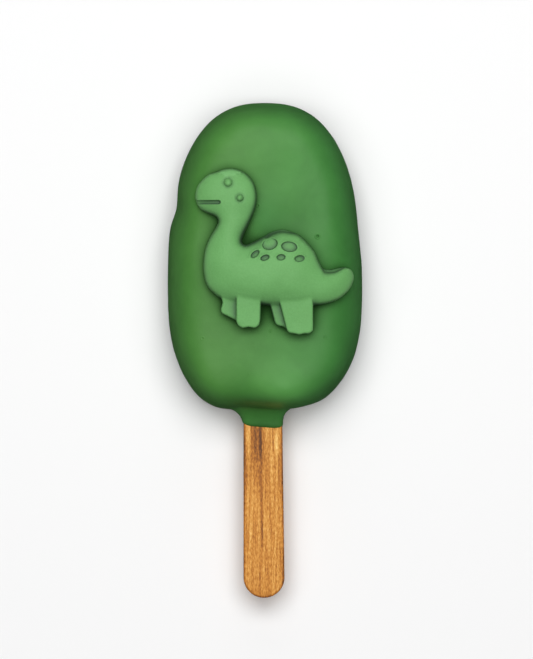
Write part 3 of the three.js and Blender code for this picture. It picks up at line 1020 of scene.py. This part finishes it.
def wood_material():
    """Warm wood with short dashes along the grain, dark streaks near the cake and dark edges."""
    n = Nodes("bare_birch")
    x, y, _ = n.place()
    along = n.times(y, 1 / MM)
    from_end = n.less(along, STICK_FREE_END)
    across = n.times(n.less(x, STICK_X * MM), 1 / MM)
    across = n.plus(across, n.times(from_end, math.tan(STICK_LEAN)))
    dashes = n.noise(1, detail=2, roughness=0.6, stretch=(3600, 1000, 3600))
    fibres = n.noise(1, roughness=0.6, stretch=(1500, 60, 1500))
    broad = n.noise(1, stretch=(260, 18, 260))
    tone = n.plus(n.span(dashes, 0.25, 0.75, 0.27, 0.75), n.vary(fibres, -0.21, 0.21))
    tone = n.plus(tone, n.vary(broad, -0.07, 0.07))
    tone = wood_marks(n, tone, across, along, fibres)
    tone = n.less(tone, wood_rim(n, across, from_end))
    n.link(n.ramp(tone, WOOD_TONES), n.shader.inputs["Base Color"])
    n.shader.inputs["Roughness"].default_value = 0.6
    n.shader.inputs["Specular IOR Level"].default_value = 0.3
    n.bump(dashes, 0.06 * MM)
    return n.material


def floor_material():
    n = Nodes("pale_floor")
    n.shader.inputs["Base Color"].default_value = (0.9, 0.9, 0.9, 1)
    n.shader.inputs["Roughness"].default_value = 0.9
    n.shader.inputs["Specular IOR Level"].default_value = 0.0
    return n.material


# ---- Object -------------------------------------------------------------------------------------


def dress(piece, node, material):
    """Give the piece its material and put it in place of the CAD model's node."""
    piece.data.materials.append(material)
    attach(piece, "root")
    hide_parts(node)


coating = mesh_of(
    "coating", coating_field, COATING_BOX, COATING_VOXEL, BUBBLES, pitted_coating_field
)
dress(coating, "coated_cake", coating_material())

figure = mesh_of("dinosaur_figure", figure_field, FIGURE_BOX, FIGURE_VOXEL)
dress(figure, "dinosaur", figure_material())

dress(stick_piece(), "stick", wood_material())


# ---- Stage --------------------------------------------------------------------------------------


def floor():
    """The pale ground, which isn't part of the object."""
    bpy.ops.mesh.primitive_plane_add(size=FLOOR_SIZE, location=(0, 0, 0))
    plane = bpy.context.object
    plane.name = "floor"
    plane.visible_glossy = False
    plane.data.materials.append(floor_material())


def softbox(name, lean, turn, spans, strength):
    """A soft light that leans from straight above, turned about +Z from +X, all in degrees.

    Strength is the brightness that it alone would give a white sheet that faces it.
    """
    lean, turn = math.radians(lean), math.radians(turn)
    outward = math.sin(lean)
    toward = Vector((outward * math.cos(turn), outward * math.sin(turn), math.cos(lean)))
    width, height = (2 * LIGHT_DISTANCE * math.tan(math.radians(span / 2)) for span in spans)
    data = bpy.data.lights.new(name, "AREA")
    data.shape = "RECTANGLE"
    data.size = width
    data.size_y = height
    data.energy = strength * (math.pi * LIGHT_DISTANCE) ** 2
    light = bpy.data.objects.new(name, data)
    light.location = toward * LIGHT_DISTANCE
    light.rotation_euler = toward.to_track_quat("Z", "Y").to_euler()
    light.visible_camera = False
    bpy.context.collection.objects.link(light)


def world():
    """Even white light from all round."""
    made = bpy.data.worlds.new("studio")
    made.use_nodes = True
    background = made.node_tree.nodes["Background"]
    background.inputs["Color"].default_value = (1, 1, 1, 1)
    background.inputs["Strength"].default_value = AMBIENT
    bpy.context.scene.world = made


def camera():
    """Looks straight down, and shows VIEW_HEIGHT from edge to edge."""
    data = bpy.data.cameras.new("camera")
    data.sensor_width = SENSOR_WIDTH
    data.lens = data.sensor_width * VIEW_DISTANCE / VIEW_HEIGHT
    data.clip_end = 10
    made = bpy.data.objects.new("camera", data)
    x, y = VIEW_CENTRE
    made.location = (x * MM, y * MM, (VIEW_DISTANCE + WIDEST_LEVEL) * MM)
    bpy.context.collection.objects.link(made)
    bpy.context.scene.camera = made


floor()
for light in SOFTBOXES:
    softbox(*light)
world()
camera()
bpy.context.scene.view_settings.view_transform = "Standard"
